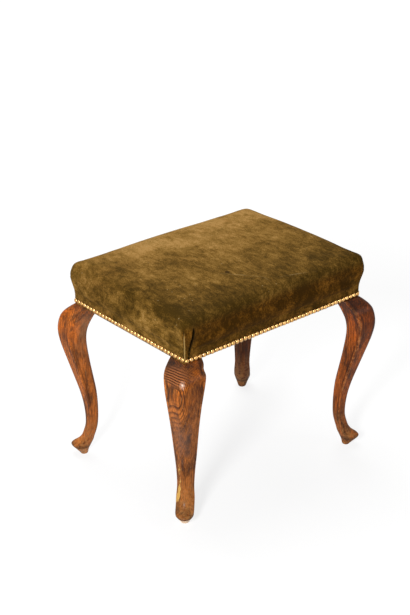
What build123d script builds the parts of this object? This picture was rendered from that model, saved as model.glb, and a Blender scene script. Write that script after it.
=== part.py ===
from build123d import *
import math
import os

os.makedirs("parts", exist_ok=True)

# All sizes are in millimetres. X runs along the seat, Y across it, Z up, and the floor is at Z = 0.

# Seat frame, measured over the wood.
FRAME_LENGTH = 496.0
FRAME_DEPTH = 366.0
RAIL_BOTTOM = 378.0
RAIL_HEIGHT = 38.0
RAIL_THICKNESS = 22.0
POST_SIDE = 44.0
FIT_CLEARANCE = 0.1

# Mortise and tenon joints, each held by one riven peg of eight sides.
TENON_LENGTH = 24.0
TENON_THICKNESS = 9.0
TENON_SETBACK = 7.0
TENON_BOTTOM_SHOULDER = 12.0
TENON_TOP_SHOULDER = 6.0
MORTISE_SPARE_DEPTH = 0.5
PEG_DIAMETER = 7.0
PEG_LENGTH = 26.0
PEG_FROM_SHOULDER = 11.0
PEG_SIDES = 8

# Corner blocks, glued across the corners behind the posts.
BLOCK_THICKNESS = 28.0
BLOCK_HEIGHT = 28.0
BLOCK_DROP = 5.0
BLOCK_POST_GAP = 0.6

# Leg: a square blank sawn to one curve on two faces, then rounded on its front and back corners.
# Out and back are measured outwards from the rail's outer face, so a negative value lies under the seat.
SHOULDER_DROP = 10.0
SHOULDER_OUT = 13.5
SHOULDER_BACK = -39.5
BROW_DROP = 20.0
BROW_OUT = 23.6
BROW_BACK = -35.5
CHEEK_DROP = 32.0
CHEEK_OUT = 30.4
CHEEK_BACK = -30.5
KNEE_DROP = 60.0
KNEE_OUT = 34.8
KNEE_BACK = -21.6
BEND_DROP = 90.0
BEND_OUT = 31.8
BEND_BACK = -18.6
CALF_HEIGHT = 238.0
CALF_OUT = 20.6
CALF_BACK = -22.4
SHIN_HEIGHT = 198.0
SHIN_OUT = 11.2
SHIN_BACK = -27.2
SHANK_HEIGHT = 158.0
SHANK_OUT = 2.3
SHANK_BACK = -31.9
ANKLE_HEIGHT = 118.0
ANKLE_OUT = -3.6
ANKLE_BACK = -32.9
HEEL_HEIGHT = 78.0
HEEL_OUT = -4.9
HEEL_BACK = -31.4
LEG_ROUND = 14.0
POST_ROUND = 3.0
ROUND_STEPS = 3

# Foot: a toe that turns up off the floor, with a small sole behind it.
# Tip and heel are measured along the corner's diagonal, outwards from the frame's corner.
INSTEP_HEIGHT = 50.0
INSTEP_TIP = 2.0
INSTEP_HEEL = -36.0
INSTEP_WIDTH = 42.0
TONGUE_HEIGHT = 36.0
TONGUE_TIP = 15.0
TONGUE_HEEL = -31.0
TONGUE_WIDTH = 41.0
TOE_HEIGHT = 25.0
TOE_TIP = 29.0
TOE_HEEL = -27.0
TOE_WIDTH = 38.0
PAD_HEIGHT = 10.0
PAD_TIP = 12.0
PAD_HEEL = -21.0
PAD_WIDTH = 25.0
SOLE_TIP = 0.0
SOLE_HEEL = -15.0
SOLE_WIDTH = 16.0
FOOT_ROUND = 8.0
SOLE_ROUND = 4.0

# Webbing, its tacks and the hessian over it.
WEB_WIDTH = 50.0
WEB_THICKNESS = 2.0
WEB_GAP = 0.2
WEB_LONG_COUNT = 3
WEB_CROSS_COUNT = 5
WEB_LONG_POST_GAP = 22.0
WEB_CROSS_POST_GAP = 3.0
WEB_RIM = 5.0
WEB_SLOPE = 10.0
TACK_HEAD_DIAMETER = 7.0
TACK_HEAD_HEIGHT = 0.8
TACK_HEAD_SIDES = 6
TACK_SHANK_SIDE = 1.4
TACK_LENGTH = 10.0
TACK_PITCH = 22.0
TACK_FROM_END = 8.0
HESSIAN_THICKNESS = 1.0
HESSIAN_RIM = 5.0

# Upholstery over the frame: a skirt flat on the rail, a swell above it, a rolled edge and a low crown.
COVER_THICKNESS = 1.8
LAYER_GAP = 0.2
WADDING_THICKNESS = 5.0
SKIRT_HEIGHT = 22.0
SWELL_HEIGHT = 62.0
SWELL_OUT = 7.0
SWELL_CORNER = 18.0
ROLL_HEIGHT = 77.0
ROLL_RADIUS = 17.0
CROWN_RISE = 9.0

# Bottom cloth under the frame and its tacks.
CLOTH_THICKNESS = 0.6
CLOTH_RIM = 6.0
CLOTH_LEG_GAP = 3.0
CLOTH_TACK_PITCH = 55.0
CLOTH_TACK_RIM = 12.0
CLOTH_TACK_END_GAP = 20.0

# Domed nails along the cover's lower edge.
NAIL_RISE = 5.0
NAIL_STAGGER = 2.2
NAIL_PITCH = 11.0
NAIL_CORNER_GAP = 6.0
NAIL_HEAD_DIAMETER = 10.6
NAIL_HEAD_HEIGHT = 3.8
NAIL_HEAD_SIDES = 8
NAIL_CROWN_DIAMETER = 5.4
NAIL_SHANK_SIDE = 1.6
NAIL_SHANK_LENGTH = 12.0

# Worked out from the sizes above.
HALF_LENGTH = FRAME_LENGTH / 2
HALF_DEPTH = FRAME_DEPTH / 2
RAIL_TOP = RAIL_BOTTOM + RAIL_HEIGHT
LONG_SPAN = FRAME_LENGTH - 2 * POST_SIDE
SHORT_SPAN = FRAME_DEPTH - 2 * POST_SIDE
TENON_HEIGHT = RAIL_HEIGHT - TENON_BOTTOM_SHOULDER - TENON_TOP_SHOULDER
TENON_MIDDLE = RAIL_BOTTOM + TENON_BOTTOM_SHOULDER + TENON_HEIGHT / 2
TENON_INSET = TENON_SETBACK + TENON_THICKNESS / 2
LONG_PEGS = LONG_SPAN + 2 * PEG_FROM_SHOULDER
SHORT_PEGS = SHORT_SPAN + 2 * PEG_FROM_SHOULDER
PEG_HOLE_RADIUS = PEG_DIAMETER / 2 + FIT_CLEARANCE
COVER_OUT = COVER_THICKNESS + LAYER_GAP
DIAGONAL = math.sqrt(2)
CORNERS = {
    "front_left": (-1, -1),
    "front_right": (1, -1),
    "back_left": (-1, 1),
    "back_right": (1, 1),
}


# One corner rounded in steps: the points of an arc from one side of the corner to the other.
def rounded_corner(corner, towards, half_angle, radius, steps):
    distance = radius / math.sin(half_angle)
    centre_x = corner[0] + distance * math.cos(towards)
    centre_y = corner[1] + distance * math.sin(towards)
    sweep = math.pi - 2 * half_angle
    points = []
    for step in range(steps + 1):
        angle = towards + math.pi + sweep * (step / steps - 0.5)
        points.append((centre_x + radius * math.cos(angle), centre_y + radius * math.sin(angle)))
    return points


# A leg's section: four corners on the diagonal, the front and back ones rounded and the side ones sharp.
def leg_section(plane, tip, heel, width, radius):
    middle = (tip + heel) / 2
    half_angle = math.atan2(width / 2, tip - middle)
    front = rounded_corner((tip, 0), math.pi, half_angle, radius, ROUND_STEPS)
    back = rounded_corner((heel, 0), 0, half_angle, radius, ROUND_STEPS)
    with BuildSketch(plane) as section:
        with BuildLine():
            Polyline(*front, (middle, width / 2), *back, (middle, -width / 2), close=True)
        make_face()
    return section.sketch


# Legs, one piece each from the sole to the top of the post.
for corner, (sx, sy) in CORNERS.items():
    foot = [
        (0, SOLE_TIP, SOLE_HEEL, SOLE_WIDTH, SOLE_ROUND),
        (PAD_HEIGHT, PAD_TIP, PAD_HEEL, PAD_WIDTH, FOOT_ROUND),
        (TOE_HEIGHT, TOE_TIP, TOE_HEEL, TOE_WIDTH, FOOT_ROUND),
        (TONGUE_HEIGHT, TONGUE_TIP, TONGUE_HEEL, TONGUE_WIDTH, FOOT_ROUND),
        (INSTEP_HEIGHT, INSTEP_TIP, INSTEP_HEEL, INSTEP_WIDTH, LEG_ROUND),
    ]
    curve = [
        (HEEL_HEIGHT, HEEL_OUT, HEEL_BACK, LEG_ROUND),
        (ANKLE_HEIGHT, ANKLE_OUT, ANKLE_BACK, LEG_ROUND),
        (SHANK_HEIGHT, SHANK_OUT, SHANK_BACK, LEG_ROUND),
        (SHIN_HEIGHT, SHIN_OUT, SHIN_BACK, LEG_ROUND),
        (CALF_HEIGHT, CALF_OUT, CALF_BACK, LEG_ROUND),
        (RAIL_BOTTOM - BEND_DROP, BEND_OUT, BEND_BACK, LEG_ROUND),
        (RAIL_BOTTOM - KNEE_DROP, KNEE_OUT, KNEE_BACK, LEG_ROUND),
        (RAIL_BOTTOM - CHEEK_DROP, CHEEK_OUT, CHEEK_BACK, LEG_ROUND),
        (RAIL_BOTTOM - BROW_DROP, BROW_OUT, BROW_BACK, LEG_ROUND),
        (RAIL_BOTTOM - SHOULDER_DROP, SHOULDER_OUT, SHOULDER_BACK, LEG_ROUND),
        (RAIL_BOTTOM, 0, -POST_SIDE, POST_ROUND),
    ]
    stations = list(foot)
    for height, out, back, radius in curve:
        stations.append((height, out * DIAGONAL, back * DIAGONAL, (out - back) * DIAGONAL, radius))
    sections = []
    for height, tip, heel, width, radius in stations:
        level = Plane((sx * HALF_LENGTH, sy * HALF_DEPTH, height), x_dir=(sx, sy, 0), z_dir=(0, 0, 1))
        sections.append(leg_section(level, tip, heel, width, radius))
    ankle = len(foot)

    post_middle = (sx * (HALF_LENGTH - POST_SIDE / 2), sy * (HALF_DEPTH - POST_SIDE / 2))
    pocket_depth = TENON_LENGTH + MORTISE_SPARE_DEPTH
    pocket_width = TENON_THICKNESS + 2 * FIT_CLEARANCE
    pocket_height = TENON_HEIGHT + 2 * FIT_CLEARANCE
    long_pocket = (sx * (LONG_SPAN + pocket_depth) / 2, sy * (HALF_DEPTH - TENON_INSET), TENON_MIDDLE)
    short_pocket = (sx * (HALF_LENGTH - TENON_INSET), sy * (SHORT_SPAN + pocket_depth) / 2, TENON_MIDDLE)
    long_peg = (sx * LONG_PEGS / 2, sy * HALF_DEPTH, TENON_MIDDLE)
    short_peg = (sx * HALF_LENGTH, sy * SHORT_PEGS / 2, TENON_MIDDLE)
    with BuildPart() as leg:
        loft(sections=sections[: ankle + 1], ruled=True)
        loft(sections=sections[ankle:])
        with BuildSketch(Plane.XY.offset(RAIL_BOTTOM)):
            with Locations(post_middle):
                Rectangle(POST_SIDE, POST_SIDE)
        extrude(amount=RAIL_HEIGHT)
        # Mortises for the two rails that meet here, and their peg holes from the post's outer faces.
        with Locations(long_pocket):
            Box(pocket_depth, pocket_width, pocket_height, mode=Mode.SUBTRACT)
        with Locations(short_pocket):
            Box(pocket_width, pocket_depth, pocket_height, mode=Mode.SUBTRACT)
        with BuildSketch(Plane(long_peg, x_dir=(1, 0, 0), z_dir=(0, -sy, 0))):
            RegularPolygon(PEG_HOLE_RADIUS, PEG_SIDES)
        extrude(amount=PEG_LENGTH, mode=Mode.SUBTRACT)
        with BuildSketch(Plane(short_peg, x_dir=(0, 1, 0), z_dir=(-sx, 0, 0))):
            RegularPolygon(PEG_HOLE_RADIUS, PEG_SIDES)
        extrude(amount=PEG_LENGTH, mode=Mode.SUBTRACT)
    leg.part.label = "leg_" + corner
    export_step(leg.part, "parts/leg_" + corner + ".step")

# Long rails, front and back, with a tenon at each end.
for name, sy in {"front": -1, "back": 1}.items():
    with BuildPart() as rail:
        with Locations((0, sy * (HALF_DEPTH - RAIL_THICKNESS / 2), RAIL_BOTTOM + RAIL_HEIGHT / 2)):
            Box(LONG_SPAN, RAIL_THICKNESS, RAIL_HEIGHT)
        with Locations((0, sy * (HALF_DEPTH - TENON_INSET), TENON_MIDDLE)):
            Box(LONG_SPAN + 2 * TENON_LENGTH, TENON_THICKNESS, TENON_HEIGHT)
        with BuildSketch(Plane((0, sy * HALF_DEPTH, TENON_MIDDLE), x_dir=(1, 0, 0), z_dir=(0, -sy, 0))):
            with GridLocations(LONG_PEGS, 0, 2, 1):
                RegularPolygon(PEG_HOLE_RADIUS, PEG_SIDES)
        extrude(amount=PEG_LENGTH, mode=Mode.SUBTRACT)
    rail.part.label = "rail_" + name
    export_step(rail.part, "parts/rail_" + name + ".step")

# Short rails, left and right.
for name, sx in {"left": -1, "right": 1}.items():
    with BuildPart() as rail:
        with Locations((sx * (HALF_LENGTH - RAIL_THICKNESS / 2), 0, RAIL_BOTTOM + RAIL_HEIGHT / 2)):
            Box(RAIL_THICKNESS, SHORT_SPAN, RAIL_HEIGHT)
        with Locations((sx * (HALF_LENGTH - TENON_INSET), 0, TENON_MIDDLE)):
            Box(TENON_THICKNESS, SHORT_SPAN + 2 * TENON_LENGTH, TENON_HEIGHT)
        with BuildSketch(Plane((sx * HALF_LENGTH, 0, TENON_MIDDLE), x_dir=(0, 1, 0), z_dir=(-sx, 0, 0))):
            with GridLocations(SHORT_PEGS, 0, 2, 1):
                RegularPolygon(PEG_HOLE_RADIUS, PEG_SIDES)
        extrude(amount=PEG_LENGTH, mode=Mode.SUBTRACT)
    rail.part.label = "rail_" + name
    export_step(rail.part, "parts/rail_" + name + ".step")

# Pegs, one through each tenon, flush with the posts' outer faces.
with BuildPart() as tenon_pegs:
    for sy in (-1, 1):
        with BuildSketch(Plane((0, sy * HALF_DEPTH, TENON_MIDDLE), x_dir=(1, 0, 0), z_dir=(0, -sy, 0))):
            with GridLocations(LONG_PEGS, 0, 2, 1):
                RegularPolygon(PEG_DIAMETER / 2, PEG_SIDES)
    for sx in (-1, 1):
        with BuildSketch(Plane((sx * HALF_LENGTH, 0, TENON_MIDDLE), x_dir=(0, 1, 0), z_dir=(-sx, 0, 0))):
            with GridLocations(SHORT_PEGS, 0, 2, 1):
                RegularPolygon(PEG_DIAMETER / 2, PEG_SIDES)
    extrude(amount=PEG_LENGTH)
tenon_pegs.part.label = "tenon_pegs"
export_step(tenon_pegs.part, "parts/tenon_pegs.step")

# Corner blocks: bars across the corner behind the post, their ends mitred to lie flat on the rails.
LONG_INNER = HALF_LENGTH - RAIL_THICKNESS
SHORT_INNER = HALF_DEPTH - RAIL_THICKNESS
BLOCK_NEAR = 2 * (POST_SIDE - RAIL_THICKNESS) + BLOCK_POST_GAP * DIAGONAL
BLOCK_FAR = BLOCK_NEAR + BLOCK_THICKNESS * DIAGONAL
for corner, (sx, sy) in CORNERS.items():
    near_long = (sx * (LONG_INNER - BLOCK_NEAR), sy * SHORT_INNER)
    far_long = (sx * (LONG_INNER - BLOCK_FAR), sy * SHORT_INNER)
    near_short = (sx * LONG_INNER, sy * (SHORT_INNER - BLOCK_NEAR))
    far_short = (sx * LONG_INNER, sy * (SHORT_INNER - BLOCK_FAR))
    with BuildPart() as corner_block:
        with BuildSketch(Plane.XY.offset(RAIL_BOTTOM + BLOCK_DROP)):
            with BuildLine():
                Polyline(near_long, far_long, far_short, near_short, close=True)
            make_face()
        extrude(amount=BLOCK_HEIGHT)
    corner_block.part.label = "corner_block_" + corner
    export_step(corner_block.part, "parts/corner_block_" + corner + ".step")

# Webbing: strips over the tops of the rails, passed over and under each other where they cross.
WEB_RISE = WEB_THICKNESS + WEB_GAP
WEB_LONG_PITCH = (SHORT_SPAN - 2 * WEB_LONG_POST_GAP - WEB_WIDTH) / (WEB_LONG_COUNT - 1)
WEB_CROSS_PITCH = (LONG_SPAN - 2 * WEB_CROSS_POST_GAP - WEB_WIDTH) / (WEB_CROSS_COUNT - 1)
LONG_STRIPS = [(i - (WEB_LONG_COUNT - 1) / 2) * WEB_LONG_PITCH for i in range(WEB_LONG_COUNT)]
CROSS_STRIPS = [(i - (WEB_CROSS_COUNT - 1) / 2) * WEB_CROSS_PITCH for i in range(WEB_CROSS_COUNT)]


def strip_outline(reach, crossings):
    lower = [(-reach, 0)]
    for at in crossings:
        lower.append((at - WEB_WIDTH / 2 - WEB_SLOPE, 0))
        lower.append((at - WEB_WIDTH / 2 - WEB_GAP, WEB_RISE))
        lower.append((at + WEB_WIDTH / 2 + WEB_GAP, WEB_RISE))
        lower.append((at + WEB_WIDTH / 2 + WEB_SLOPE, 0))
    lower.append((reach, 0))
    upper = [(along, up + WEB_THICKNESS) for along, up in reversed(lower)]
    return lower + upper


with BuildPart() as webbing_lengthwise:
    for row, at in enumerate(LONG_STRIPS):
        over = [x for column, x in enumerate(CROSS_STRIPS) if (row + column) % 2 == 0]
        with BuildSketch(Plane((0, at, RAIL_TOP), x_dir=(1, 0, 0), z_dir=(0, -1, 0))):
            with BuildLine():
                Polyline(*strip_outline(HALF_LENGTH - WEB_RIM, over), close=True)
            make_face()
    extrude(amount=WEB_WIDTH / 2, both=True)
webbing_lengthwise.part.label = "webbing_lengthwise"
export_step(webbing_lengthwise.part, "parts/webbing_lengthwise.step")

with BuildPart() as webbing_crosswise:
    for column, at in enumerate(CROSS_STRIPS):
        over = [y for row, y in enumerate(LONG_STRIPS) if (row + column) % 2 == 1]
        with BuildSketch(Plane((at, 0, RAIL_TOP), x_dir=(0, 1, 0), z_dir=(1, 0, 0))):
            with BuildLine():
                Polyline(*strip_outline(HALF_DEPTH - WEB_RIM, over), close=True)
            make_face()
    extrude(amount=WEB_WIDTH / 2, both=True)
webbing_crosswise.part.label = "webbing_crosswise"
export_step(webbing_crosswise.part, "parts/webbing_crosswise.step")

# One tack, its head's underside at the origin and its point upwards.
with BuildPart() as tack:
    with BuildSketch():
        RegularPolygon(TACK_HEAD_DIAMETER / 2, TACK_HEAD_SIDES)
    extrude(amount=-TACK_HEAD_HEIGHT)
    with BuildSketch():
        Rectangle(TACK_SHANK_SIDE, TACK_SHANK_SIDE)
    extrude(amount=TACK_LENGTH)

# Tacks through the webbing's ends into the rails.
tack_x = HALF_LENGTH - WEB_RIM - TACK_FROM_END
tack_y = HALF_DEPTH - WEB_RIM - TACK_FROM_END
web_tack_places = []
for step in (-TACK_PITCH / 2, TACK_PITCH / 2):
    for side in (-1, 1):
        web_tack_places += [(side * tack_x, -at - step) for at in LONG_STRIPS]
        web_tack_places += [(at + step, -side * tack_y) for at in CROSS_STRIPS]
with BuildPart() as webbing_tacks:
    with Locations(Plane((0, 0, RAIL_TOP + WEB_THICKNESS), x_dir=(1, 0, 0), z_dir=(0, 0, -1))):
        with Locations(*web_tack_places):
            add(tack.part)
webbing_tacks.part.label = "webbing_tacks"
export_step(webbing_tacks.part, "parts/webbing_tacks.step")

# Hessian laid over the webbing.
HESSIAN_BOTTOM = RAIL_TOP + WEB_RISE + WEB_THICKNESS + LAYER_GAP
with BuildPart() as hessian:
    with BuildSketch(Plane.XY.offset(HESSIAN_BOTTOM)):
        Rectangle(FRAME_LENGTH - 2 * HESSIAN_RIM, FRAME_DEPTH - 2 * HESSIAN_RIM)
    extrude(amount=HESSIAN_THICKNESS)
hessian.part.label = "hessian"
export_step(hessian.part, "parts/hessian.step")

# The seat's form is one profile carried along the seat and one across it, where they meet.
# Every layer is the same form, a set depth under the cover's surface.
COVER_LENGTH = FRAME_LENGTH + 2 * COVER_OUT
COVER_DEPTH = FRAME_DEPTH + 2 * COVER_OUT
SWELL_TURN = 2 * math.degrees(math.atan(SWELL_OUT / (SWELL_HEIGHT - SKIRT_HEIGHT)))
SWELL_RADIUS = (SWELL_HEIGHT - SKIRT_HEIGHT) / 2 / math.sin(math.radians(SWELL_TURN))


def seat_profile(plane, side, depth):
    crown_reach = side / 2 + SWELL_OUT - ROLL_RADIUS
    crown_radius = (crown_reach**2 + CROWN_RISE**2) / (2 * CROWN_RISE)
    crown_turn = math.degrees(math.asin(crown_reach / crown_radius))
    foot_x = side / 2 - depth
    with BuildSketch(plane) as profile:
        with BuildLine():
            skirt = Line((foot_x, 0), (foot_x, SKIRT_HEIGHT))
            flare = JernArc(skirt @ 1, (0, 1), SWELL_RADIUS + depth, -SWELL_TURN)
            swell = JernArc(flare @ 1, flare % 1, SWELL_RADIUS - depth, SWELL_TURN)
            upright = Line(swell @ 1, (foot_x + SWELL_OUT, ROLL_HEIGHT))
            roll = JernArc(upright @ 1, (0, 1), ROLL_RADIUS - depth, 90 - crown_turn)
            JernArc(roll @ 1, roll % 1, crown_radius + ROLL_RADIUS - depth, crown_turn)
            mirror(about=Plane.YZ)
            Line((-foot_x, 0), (foot_x, 0))
        make_face()
    return profile.sketch


def seat_form(depth):
    lengthwise = Plane((0, 0, RAIL_BOTTOM), x_dir=(1, 0, 0), z_dir=(0, -1, 0))
    crosswise = Plane((0, 0, RAIL_BOTTOM), x_dir=(0, 1, 0), z_dir=(1, 0, 0))
    swell = 2 * (SWELL_OUT - depth)
    with BuildPart() as form:
        extrude(seat_profile(lengthwise, COVER_LENGTH, depth), amount=COVER_DEPTH, both=True)
        extrude(seat_profile(crosswise, COVER_DEPTH, depth), amount=COVER_LENGTH, both=True, mode=Mode.INTERSECT)
        with BuildSketch(Plane.XY.offset(RAIL_BOTTOM)):
            RectangleRounded(COVER_LENGTH + swell, COVER_DEPTH + swell, SWELL_CORNER - depth)
        extrude(amount=COVER_LENGTH, mode=Mode.INTERSECT)
    return form.part


# Hair stuffing, a firm pad with a stitched edge, on the hessian.
STUFFING_BOTTOM = HESSIAN_BOTTOM + HESSIAN_THICKNESS + LAYER_GAP
with BuildPart() as stuffing:
    add(seat_form(COVER_THICKNESS + WADDING_THICKNESS + 2 * LAYER_GAP))
    split(bisect_by=Plane.XY.offset(STUFFING_BOTTOM), keep=Keep.TOP)
stuffing.part.label = "stuffing"
export_step(stuffing.part, "parts/stuffing.step")

# Wadding over the stuffing, down to the tops of the rails.
with BuildPart() as wadding:
    add(seat_form(COVER_OUT))
    add(seat_form(COVER_OUT + WADDING_THICKNESS), mode=Mode.SUBTRACT)
    split(bisect_by=Plane.XY.offset(RAIL_TOP + LAYER_GAP), keep=Keep.TOP)
wadding.part.label = "wadding"
export_step(wadding.part, "parts/wadding.step")

# Cover, drawn down over the wadding and the outer faces of the rails.
with BuildPart() as cover:
    add(seat_form(0))
    add(seat_form(COVER_THICKNESS), mode=Mode.SUBTRACT)
cover.part.label = "cover"
export_step(cover.part, "parts/cover.step")

# One domed nail, its head's underside at the origin: bevelled all round, with a square shank.
with BuildPart() as nail:
    with BuildSketch():
        RegularPolygon(NAIL_HEAD_DIAMETER / 2, NAIL_HEAD_SIDES, rotation=180 / NAIL_HEAD_SIDES)
    extrude(amount=NAIL_HEAD_HEIGHT)
    head_width = NAIL_HEAD_DIAMETER * math.cos(math.pi / NAIL_HEAD_SIDES)
    for turn in range(NAIL_HEAD_SIDES // 2):
        angle = 2 * math.pi * turn / NAIL_HEAD_SIDES
        across = (math.cos(angle), math.sin(angle), 0)
        along = (math.sin(angle), -math.cos(angle), 0)
        with BuildSketch(Plane((0, 0, 0), x_dir=across, z_dir=along)):
            with BuildLine():
                Polyline(
                    (-head_width / 2, 0),
                    (head_width / 2, 0),
                    (NAIL_CROWN_DIAMETER / 2, NAIL_HEAD_HEIGHT),
                    (-NAIL_CROWN_DIAMETER / 2, NAIL_HEAD_HEIGHT),
                    close=True,
                )
            make_face()
        extrude(amount=NAIL_HEAD_DIAMETER, both=True, mode=Mode.INTERSECT)
    with BuildSketch():
        Rectangle(NAIL_SHANK_SIDE, NAIL_SHANK_SIDE)
    extrude(amount=-NAIL_SHANK_LENGTH)

# Domed nails in close rows through the cover's lower edge into the rails and posts.
# The rows on the short sides stand a little higher, so shanks at the corners pass each other.
LONG_LINE = RAIL_BOTTOM + NAIL_RISE
SHORT_LINE = LONG_LINE + NAIL_STAGGER
NAIL_ROWS = {
    "front": ((0, -COVER_DEPTH / 2, LONG_LINE), (1, 0, 0), (0, -1, 0), COVER_LENGTH),
    "back": ((0, COVER_DEPTH / 2, LONG_LINE), (-1, 0, 0), (0, 1, 0), COVER_LENGTH),
    "left": ((-COVER_LENGTH / 2, 0, SHORT_LINE), (0, -1, 0), (-1, 0, 0), COVER_DEPTH),
    "right": ((COVER_LENGTH / 2, 0, SHORT_LINE), (0, 1, 0), (1, 0, 0), COVER_DEPTH),
}
for name, (middle, along, outwards, side) in NAIL_ROWS.items():
    row_length = side - 2 * NAIL_CORNER_GAP
    gaps = round(row_length / NAIL_PITCH)
    with BuildPart() as nails:
        with Locations(Plane(middle, x_dir=along, z_dir=outwards)):
            with GridLocations(row_length / gaps, 0, gaps + 1, 1):
                add(nail.part)
    nails.part.label = "nails_" + name
    export_step(nails.part, "parts/nails_" + name + ".step")

# Bottom cloth, stretched under the frame and cut out round the legs.
with BuildPart() as bottom_cloth:
    with BuildSketch(Plane.XY.offset(RAIL_BOTTOM)):
        Rectangle(FRAME_LENGTH - 2 * CLOTH_RIM, FRAME_DEPTH - 2 * CLOTH_RIM)
        with GridLocations(FRAME_LENGTH, FRAME_DEPTH, 2, 2):
            Rectangle(2 * (POST_SIDE + CLOTH_LEG_GAP), 2 * (POST_SIDE + CLOTH_LEG_GAP), mode=Mode.SUBTRACT)
    extrude(amount=-CLOTH_THICKNESS)
bottom_cloth.part.label = "bottom_cloth"
export_step(bottom_cloth.part, "parts/bottom_cloth.step")

# Tacks of the bottom cloth, up into the rails.
long_run = LONG_SPAN - 2 * CLOTH_TACK_END_GAP
short_run = SHORT_SPAN - 2 * CLOTH_TACK_END_GAP
long_gaps = round(long_run / CLOTH_TACK_PITCH)
short_gaps = round(short_run / CLOTH_TACK_PITCH)
cloth_tack_places = []
for side in (-1, 1):
    for step in range(long_gaps + 1):
        along = long_run * (step / long_gaps - 0.5)
        cloth_tack_places.append((along, side * (HALF_DEPTH - CLOTH_TACK_RIM)))
    for step in range(short_gaps + 1):
        along = short_run * (step / short_gaps - 0.5)
        cloth_tack_places.append((side * (HALF_LENGTH - CLOTH_TACK_RIM), along))
with BuildPart() as cloth_tacks:
    with Locations(Plane.XY.offset(RAIL_BOTTOM - CLOTH_THICKNESS)):
        with Locations(*cloth_tack_places):
            add(tack.part)
cloth_tacks.part.label = "cloth_tacks"
export_step(cloth_tacks.part, "parts/cloth_tacks.step")
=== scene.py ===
import bmesh
import bpy
import math
import random
from mathutils import Matrix, Vector, noise


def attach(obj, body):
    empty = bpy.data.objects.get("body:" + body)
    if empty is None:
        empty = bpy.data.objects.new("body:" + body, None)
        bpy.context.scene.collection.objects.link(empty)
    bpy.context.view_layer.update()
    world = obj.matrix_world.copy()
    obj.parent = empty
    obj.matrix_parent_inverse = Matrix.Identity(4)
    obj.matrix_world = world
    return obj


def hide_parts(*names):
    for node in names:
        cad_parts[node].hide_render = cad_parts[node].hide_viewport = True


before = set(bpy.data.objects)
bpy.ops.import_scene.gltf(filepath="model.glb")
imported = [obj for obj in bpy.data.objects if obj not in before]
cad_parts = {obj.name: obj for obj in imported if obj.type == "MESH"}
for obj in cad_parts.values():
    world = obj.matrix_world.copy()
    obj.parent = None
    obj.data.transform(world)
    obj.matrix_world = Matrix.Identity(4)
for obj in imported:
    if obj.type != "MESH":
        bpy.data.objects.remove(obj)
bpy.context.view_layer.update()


# Seat rails: four lengths of sawn beech, tenoned into the tops of the legs.
# Only their lower edges show, from below, round the rim of the bottom cloth.
def feed(tree, node, feeds):
    for name, value in feeds.items():
        if isinstance(value, bpy.types.NodeSocket):
            tree.links.new(value, node.inputs[name])
        else:
            node.inputs[name].default_value = value


def put(tree, kind, feeds=None, **settings):
    made = tree.nodes.new(kind)
    for name, value in settings.items():
        setattr(made, name, value)
    feed(tree, made, feeds or {})
    return made


def sums(tree, operation, *values, clamp=False):
    feeds = {at: value for at, value in enumerate(values)}
    return put(tree, "ShaderNodeMath", feeds, operation=operation, use_clamp=clamp).outputs[0]


def product(tree, first, second, clamp=False):
    return sums(tree, "MULTIPLY", first, second, clamp=clamp)


def between(tree, value, low, high, to_low=0.0, to_high=1.0):
    feeds = {"Value": value, "From Min": low, "From Max": high, "To Min": to_low, "To Max": to_high}
    return put(tree, "ShaderNodeMapRange", feeds).outputs[0]


def tint(tree, factor, first, second, way="MIX"):
    feeds = {0: factor, 6: first, 7: second}
    return put(tree, "ShaderNodeMix", feeds, data_type="RGBA", blend_type=way).outputs[2]


def ramp(tree, value, *stops):
    made = put(tree, "ShaderNodeValToRGB", {0: value})
    while len(made.color_ramp.elements) < len(stops):
        made.color_ramp.elements.new(0.5)
    for element, (place, colour) in zip(made.color_ramp.elements, stops):
        element.position = place
        element.color = (*colour, 1)
    return made.outputs[0]


def clouds(tree, vector, scale, detail=3.0, roughness=0.55, distortion=0.0):
    feeds = {"Vector": vector, "Scale": scale, "Detail": detail}
    feeds.update({"Roughness": roughness, "Distortion": distortion})
    return put(tree, "ShaderNodeTexNoise", feeds).outputs[0]


def stretched(tree, vector, scale):
    return put(tree, "ShaderNodeMapping", {"Vector": vector, "Scale": scale}).outputs[0]


def object_place(tree):
    return put(tree, "ShaderNodeTexCoord").outputs["Object"]


def finish_of(name):
    made = bpy.data.materials.new(name)
    made.use_nodes = True
    return made, made.node_tree, made.node_tree.nodes["Principled BSDF"]


def roughen(tree, shader, height, distance, strength=1.0):
    feeds = {"Height": height, "Distance": distance, "Strength": strength}
    feed(tree, shader, {"Normal": put(tree, "ShaderNodeBump", feeds).outputs[0]})


timber_grain = bpy.data.node_groups.new("timber_grain", "ShaderNodeTree")
for socket, kind in (("Vector", "Vector"), ("Ring Spacing", "Float"), ("Waver", "Float")):
    timber_grain.interface.new_socket(socket, in_out="INPUT", socket_type="NodeSocket" + kind)
for socket in ("Rings", "Fine Rings", "Pores", "Mottle"):
    timber_grain.interface.new_socket(socket, in_out="OUTPUT", socket_type="NodeSocketFloat")
grain_in = timber_grain.nodes.new("NodeGroupInput")
grain_out = timber_grain.nodes.new("NodeGroupOutput")
through = grain_in.outputs["Vector"]
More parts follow.
